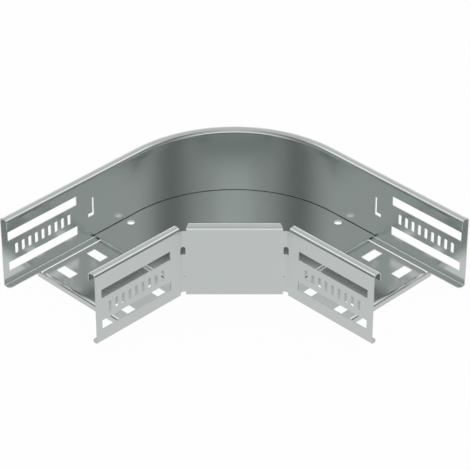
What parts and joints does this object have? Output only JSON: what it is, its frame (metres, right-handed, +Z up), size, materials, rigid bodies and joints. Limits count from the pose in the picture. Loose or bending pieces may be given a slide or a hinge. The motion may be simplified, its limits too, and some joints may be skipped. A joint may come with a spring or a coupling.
{
  "type": "cable tray bend",
  "caption": "Flat 90 degree bend of a perforated cable tray: curved outer wall, faceted inner wall and a floor with a slotted tongue and rolled lip at each end.",
  "frame": {"origin": "middle of the bounding box at its bottom, level with the undersides of the two front lips", "axes": "+Z up out of the tray; the first arm opens towards -X and the second towards -Y, so the part is mirror-symmetric about the plane x = y"},
  "size_m": [0.239, 0.239, 0.0666],
  "materials": {
    "galvanised_steel": "smooth strip-galvanised steel, satin"
  },
  "bodies": {
    "root": {"outer_wall": "galvanised_steel", "inner_wall": "galvanised_steel", "floor_plate": "galvanised_steel"}
  },
  "joints": []
}
